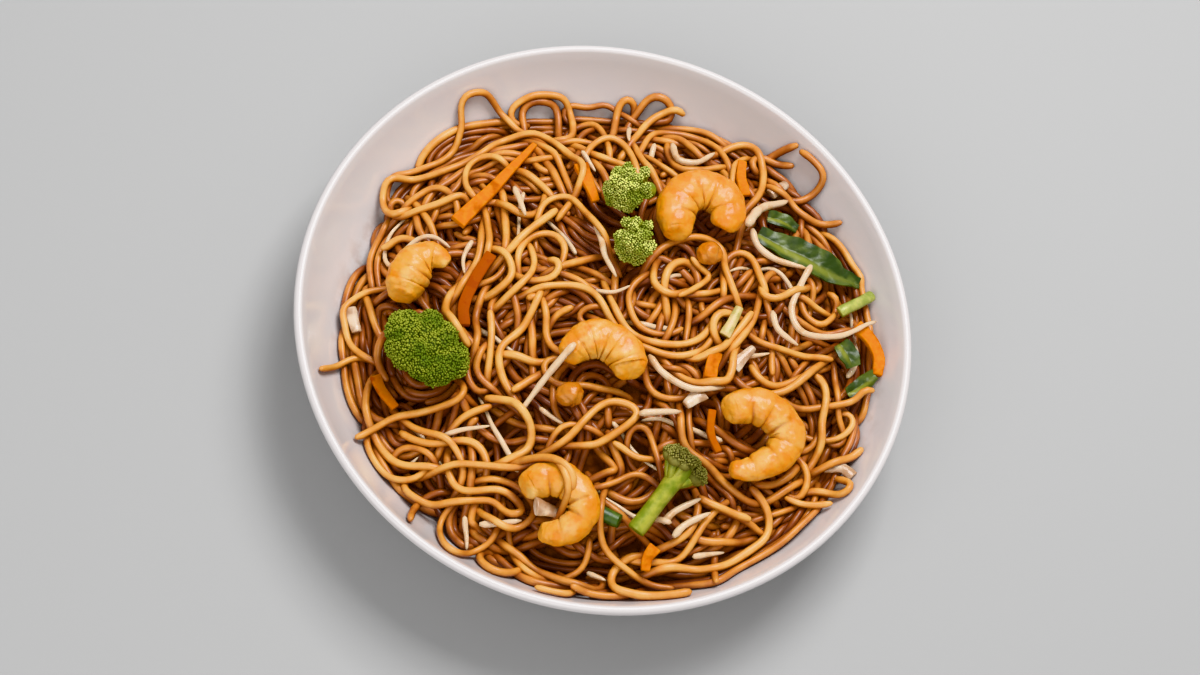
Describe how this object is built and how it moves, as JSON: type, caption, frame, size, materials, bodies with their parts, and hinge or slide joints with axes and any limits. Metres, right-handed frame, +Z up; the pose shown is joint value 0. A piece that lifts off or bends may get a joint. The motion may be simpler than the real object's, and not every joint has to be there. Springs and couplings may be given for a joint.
{
  "type": "bowl of stir-fried noodles with prawns",
  "caption": "Round shallow bowl heaped with brown stir-fried noodles, curled prawns, broccoli, carrot strips, leafy greens and bean sprouts.",
  "frame": {"origin": "on the surface the bowl stands on, below the centre of its rim", "axes": "+Z up through the middle of the bowl, +X to the diner's right, +Y away from the diner"},
  "size_m": [0.249, 0.249, 0.0697],
  "materials": {
    "bowl": "glazed white ceramic, slightly pink-grey, glossy",
    "noodle": "wheat noodles glossy with brown soy sauce and oil",
    "prawn": "cooked peeled prawn, pink-orange, moist",
    "carrot": "cooked carrot strip, orange, oily",
    "broccoli": "cooked broccoli floret, green buds on a pale green stalk",
    "leaf": "wilted dark green leaf, glossy, paler midrib",
    "stalk": "green leaf stalk, glossy",
    "sprout": "cooked bean sprout, off-white, slightly see-through",
    "onion": "cooked white onion piece, slightly see-through"
  },
  "bodies": {
    "root": {"bowl": "bowl", "broccoli_back": "broccoli", "broccoli_front": "broccoli", "broccoli_left": "broccoli", "broccoli_mid": "broccoli", "carrot_back": "carrot", "carrot_by_broccoli": "carrot", "carrot_curved": "carrot", "carrot_front": "carrot", "carrot_left": "carrot", "carrot_long": "carrot", "carrot_mid": "carrot", "carrot_rim": "carrot", "carrot_thin": "carrot", "leaf_behind": "leaf", "leaf_end": "leaf", "leaf_large": "leaf", "leaf_rim": "leaf", "noodles": "noodle", "onion_arc": "onion", "onion_back": "onion", "onion_front": "onion", "onion_left": "onion", "onion_mid": "onion", "onion_right": "onion", "prawn_back": "prawn", "prawn_centre": "prawn", "prawn_front": "prawn", "prawn_left": "prawn", "prawn_right": "prawn", "prawn_under_back": "prawn", "prawn_under_centre": "prawn", "sprout_across": "sprout", "sprout_broad": "sprout", "sprout_broccoli": "sprout", "sprout_centre": "sprout", "sprout_front": "sprout", "sprout_hook": "sprout", "sprout_leaf": "sprout", "sprout_left": "sprout", "sprout_long": "sprout", "sprout_mid": "sprout", "sprout_pair_a": "sprout", "sprout_pair_b": "sprout", "sprout_short": "sprout", "sprout_top": "sprout", "stalk_light": "stalk", "stalk_mid": "stalk", "stalk_stub": "stalk"}
  },
  "joints": []
}
